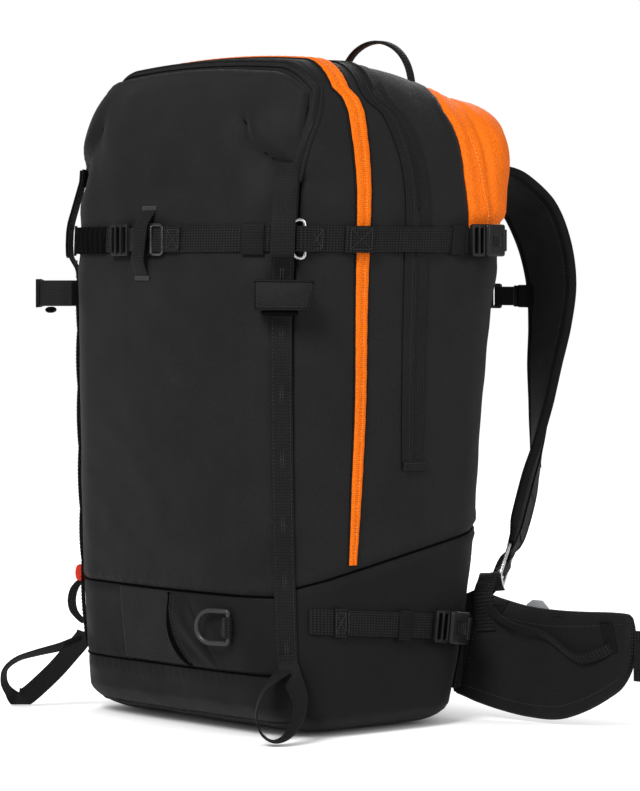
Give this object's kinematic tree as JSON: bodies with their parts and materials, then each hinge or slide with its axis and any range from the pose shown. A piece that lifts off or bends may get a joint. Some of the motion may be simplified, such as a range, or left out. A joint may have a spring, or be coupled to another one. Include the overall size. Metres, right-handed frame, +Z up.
{
  "type": "avalanche airbag backpack",
  "caption": "Touring backpack with an airbag behind a burst zip, a trigger in the left strap, compression straps, axe loops and an open hip belt.",
  "frame": {"origin": "middle of the flat underside of the base, on the floor", "axes": "+Z up, -Y towards the front of the bag, +Y towards the wearer's back, +X towards the side that carries the ring; the pack stands upright"},
  "size_m": [0.7571, 0.4708, 0.6255],
  "materials": {
    "black_fabric": "woven, matt",
    "dark_fabric": "coarse woven, matt",
    "orange_fabric": "woven, matt",
    "webbing": "ribbed webbing",
    "padding": "foam under woven fabric",
    "buckle_plastic": "moulded, fine grain",
    "buckle_metal": "polished",
    "zip_tape": "coated zip tape",
    "bladder_fabric": "thin coated fabric",
    "trigger_grip": "moulded grip"
  },
  "bodies": {
    "bag": {"activation_unit": "buckle_plastic", "airbag_bladder": "bladder_fabric", "airbag_burst_zip": "orange_fabric", "aluminium_stay": "buckle_metal", "axe_holder_left": "webbing", "axe_holder_right": "webbing", "back_panel": "padding", "base_panel": "dark_fabric", "corner_hook_left": "buckle_metal", "corner_hook_right": "buckle_metal", "corner_tape_left": "webbing", "corner_tape_right": "webbing", "front_buckle": "buckle_plastic", "front_panel": "black_fabric", "front_ring": "buckle_metal", "front_strap_left": "webbing", "front_strap_right": "webbing", "gas_cartridge": "buckle_metal", "lower_pocket": "black_fabric", "lower_socket_left": "buckle_plastic", "lower_socket_right": "buckle_plastic", "lower_strap_left": "webbing", "lower_strap_right": "webbing", "lower_webbing_left": "webbing", "lower_webbing_right": "webbing", "lumbar_pad": "padding", "main_bag": "black_fabric", "main_zip": "zip_tape", "orange_top_panel": "orange_fabric", "ring_tab": "webbing", "side_strap_left": "webbing", "side_strap_right": "webbing", "trigger_cable": "buckle_plastic", "upper_socket_left": "buckle_plastic", "upper_socket_right": "buckle_plastic"},
    "haul_loop": {"haul_loop": "webbing"},
    "gear_ring": {"gear_ring": "buckle_plastic"},
    "upper_tongue_right": {"upper_tongue_right": "buckle_plastic"},
    "upper_tongue_left": {"upper_tongue_left": "buckle_plastic"},
    "lower_tongue_right": {"lower_tongue_right": "buckle_plastic"},
    "lower_tongue_left": {"lower_tongue_left": "buckle_plastic"},
    "zip_slider": {"main_zip_slider": "buckle_metal"},
    "strap_right": {"shoulder_strap_right": "padding", "strap_adjuster_right": "buckle_metal", "sternum_strap_right": "webbing"},
    "strap_left": {"shoulder_strap_left": "padding", "strap_adjuster_left": "buckle_metal", "sternum_strap_left": "webbing", "sternum_socket": "buckle_plastic"},
    "sternum_tongue": {"sternum_tongue": "buckle_plastic"},
    "trigger_handle": {"trigger_handle": "trigger_grip"},
    "trigger_pin": {"trigger_pin": "buckle_metal"},
    "wing_right": {"hip_wing_right": "padding", "hip_webbing_right": "webbing", "hip_socket": "buckle_plastic"},
    "wing_left": {"hip_wing_left": "padding", "hip_webbing_left": "webbing", "hip_tongue": "buckle_plastic"},
    "axe_loop_right": {"axe_loop_right": "webbing"},
    "axe_loop_left": {"axe_loop_left": "webbing"}
  },
  "joints": [
    {"name": "haul_loop_hinge", "type": "hinge", "parent": "bag", "child": "haul_loop", "pos_m": [0, 0.107, 0.56889], "axis": [1, 0, 0], "range_deg": [-50, 50]},
    {"name": "gear_ring_hinge", "type": "hinge", "parent": "bag", "child": "gear_ring", "pos_m": [0.092, -0.15275, 0.096], "axis": [0, 0, 1], "range_deg": [-15, 95]},
    {"name": "upper_buckle_right", "type": "slide", "parent": "bag", "child": "upper_tongue_right", "axis": [0.0559, -0.9984, 0], "range_m": [0, 0.024]},
    {"name": "lower_buckle_right", "type": "slide", "parent": "bag", "child": "lower_tongue_right", "axis": [0.0396, -0.9907, 0.1305], "range_m": [0, 0.024]},
    {"name": "upper_buckle_left", "type": "slide", "parent": "bag", "child": "upper_tongue_left", "axis": [-0.0559, -0.9984, 0], "range_m": [0, 0.024]},
    {"name": "lower_buckle_left", "type": "slide", "parent": "bag", "child": "lower_tongue_left", "axis": [-0.0396, -0.9907, 0.1305], "range_m": [0, 0.024]},
    {"name": "main_zip_slide", "type": "slide", "parent": "bag", "child": "zip_slider", "axis": [0, 0.0651, 0.9979], "range_m": [0, 0.13]},
    {"name": "shoulder_strap_right_flex", "type": "hinge", "parent": "bag", "child": "strap_right", "pos_m": [0.06, 0.1683, 0.498], "axis": [1, 0, 0], "range_deg": [-6, 18], "stiffness_Nm_per_rad": 3},
    {"name": "shoulder_strap_left_flex", "type": "hinge", "parent": "bag", "child": "strap_left", "pos_m": [-0.06, 0.1683, 0.498], "axis": [1, 0, 0], "range_deg": [-6, 18], "stiffness_Nm_per_rad": 3},
    {"name": "sternum_buckle", "type": "slide", "parent": "strap_right", "child": "sternum_tongue", "axis": [1, 0, 0], "range_m": [0, 0.022]},
    {"name": "trigger_pull", "type": "slide", "parent": "strap_left", "child": "trigger_handle", "axis": [-0.0487, -0.2022, -0.9781], "range_m": [0, 0.03]},
    {"name": "trigger_pin_slide", "type": "slide", "parent": "bag", "child": "trigger_pin", "axis": [0, 1, 0], "range_m": [0, 0.006]},
    {"name": "hip_wing_right_swing", "type": "hinge", "parent": "bag", "child": "wing_right", "pos_m": [0.1392, 0.108, 0.06], "axis": [0, 0, 1], "range_deg": [-4, 60]},
    {"name": "hip_wing_left_swing", "type": "hinge", "parent": "bag", "child": "wing_left", "pos_m": [-0.1392, 0.108, 0.06], "axis": [0, 0, -1], "range_deg": [-4, 60]},
    {"name": "axe_loop_right_lift", "type": "hinge", "parent": "bag", "child": "axe_loop_right", "pos_m": [0.14523, -0.12629, 0.06582], "axis": [-0.908, -0.4191, 0], "range_deg": [0, 25]},
    {"name": "axe_loop_left_lift", "type": "hinge", "parent": "bag", "child": "axe_loop_left", "pos_m": [-0.14523, -0.12629, 0.06582], "axis": [-0.908, 0.4191, 0], "range_deg": [0, 25]}
  ],
  "couplings": [
    {"joint": "shoulder_strap_left_flex", "follows": "shoulder_strap_right_flex", "ratio": 1},
    {"joint": "trigger_pin_slide", "follows": "trigger_pull", "ratio": 0.2}
  ]
}
